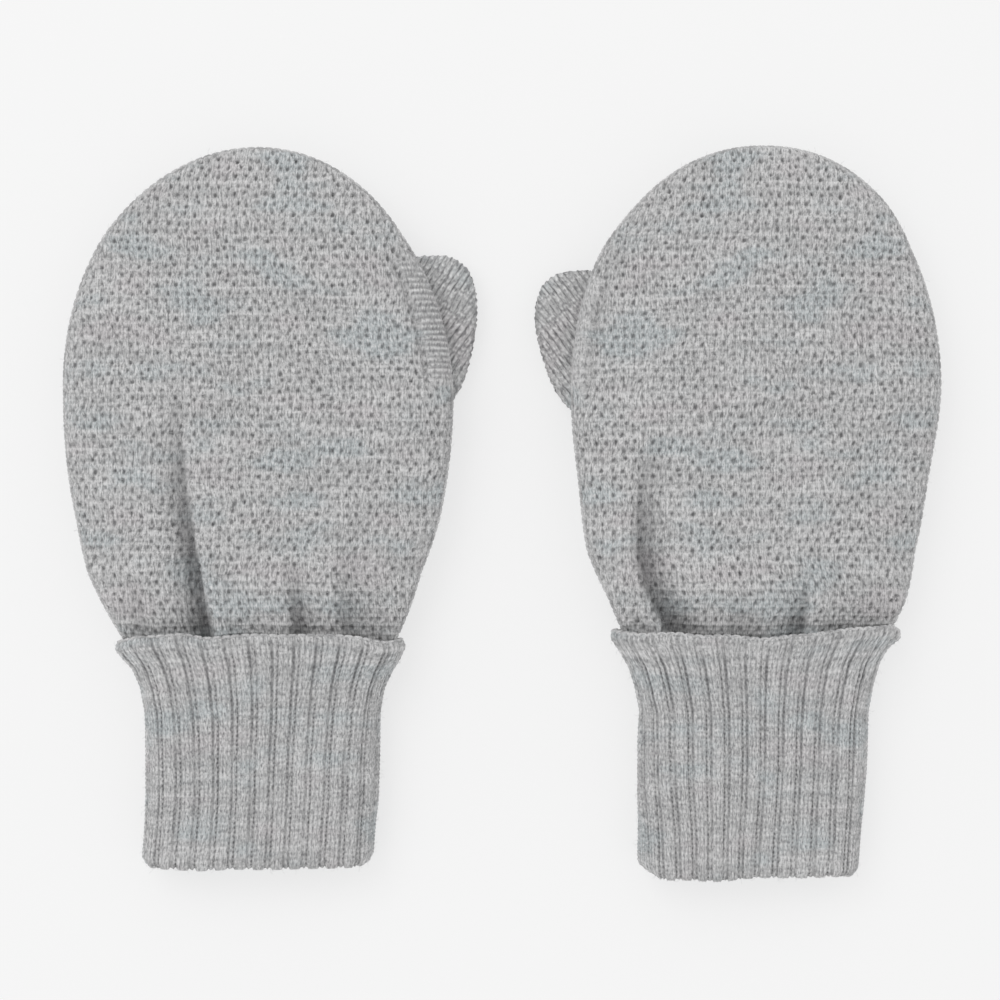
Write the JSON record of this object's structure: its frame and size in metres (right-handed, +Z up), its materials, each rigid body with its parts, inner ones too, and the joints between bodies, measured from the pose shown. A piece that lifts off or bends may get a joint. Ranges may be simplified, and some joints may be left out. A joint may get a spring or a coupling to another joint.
{
  "type": "convertible flip-top mittens",
  "caption": "Pair of child's knitted mittens with a flip-back fingertip cap, a side thumb and a long ribbed cuff turned up over itself.",
  "frame": {"origin": "under the middle of the pair's bounding box, on the surface that it lies on", "axes": "+X across the pair from the left mitten to the right, +Y towards the fingertips, +Z up, palms down"},
  "size_m": [0.2104, 0.173, 0.0206],
  "materials": {
    "back_knit": "light grey melange wool in a fine tuck stitch",
    "palm_knit": "light grey melange wool, plain knit",
    "rib_knit": "light grey melange wool in a wide rib",
    "edge_yarn": "light grey melange yarn, linked edge"
  },
  "bodies": {
    "left_hand": {"left_hand_back": "back_knit", "left_palm": "palm_knit", "left_palm_welt": "rib_knit", "left_side_seam": "edge_yarn", "left_thumb_seam": "edge_yarn", "left_wrist_seam": "edge_yarn", "left_cuff_inner": "rib_knit"},
    "left_cap": {"left_cap_back": "back_knit", "left_cap_palm": "palm_knit", "left_cap_welt": "rib_knit", "left_crown_seam": "edge_yarn"},
    "left_thumb": {"left_thumb": "palm_knit"},
    "left_turnup": {"left_cuff_turnup": "rib_knit", "left_cuff_edge": "edge_yarn"},
    "right_hand": {"right_hand_back": "back_knit", "right_palm": "palm_knit", "right_palm_welt": "rib_knit", "right_side_seam": "edge_yarn", "right_thumb_seam": "edge_yarn", "right_wrist_seam": "edge_yarn", "right_cuff_inner": "rib_knit"},
    "right_cap": {"right_cap_back": "back_knit", "right_cap_palm": "palm_knit", "right_cap_welt": "rib_knit", "right_crown_seam": "edge_yarn"},
    "right_thumb": {"right_thumb": "palm_knit"},
    "right_turnup": {"right_cuff_turnup": "rib_knit", "right_cuff_edge": "edge_yarn"}
  },
  "joints": [
    {"name": "left_cap_flip", "type": "hinge", "parent": "left_hand", "child": "left_cap", "pos_m": [-0.0592, 0.04345, 0.0203], "axis": [1, 0, 0], "range_deg": [0, 178]},
    {"name": "left_thumb_swing", "type": "hinge", "parent": "left_hand", "child": "left_thumb", "pos_m": [-0.0207, 0.03245, 0.0044], "axis": [0, 0, -1], "range_deg": [0, 50]},
    {"name": "left_cuff_turn_down", "type": "slide", "parent": "left_hand", "child": "left_turnup", "axis": [0, -1, 0], "range_m": [0, 0.05]},
    {"name": "right_cap_flip", "type": "hinge", "parent": "right_hand", "child": "right_cap", "pos_m": [0.0592, 0.04345, 0.0203], "axis": [1, 0, 0], "range_deg": [0, 178]},
    {"name": "right_thumb_swing", "type": "hinge", "parent": "right_hand", "child": "right_thumb", "pos_m": [0.0207, 0.03245, 0.0044], "axis": [0, 0, 1], "range_deg": [0, 50]},
    {"name": "right_cuff_turn_down", "type": "slide", "parent": "right_hand", "child": "right_turnup", "axis": [0, -1, 0], "range_m": [0, 0.05]},
    {"name": "right_mitten_lift", "type": "slide", "parent": "left_hand", "child": "right_hand", "axis": [0, 0, 1], "range_m": [0, 0.12]}
  ]
}
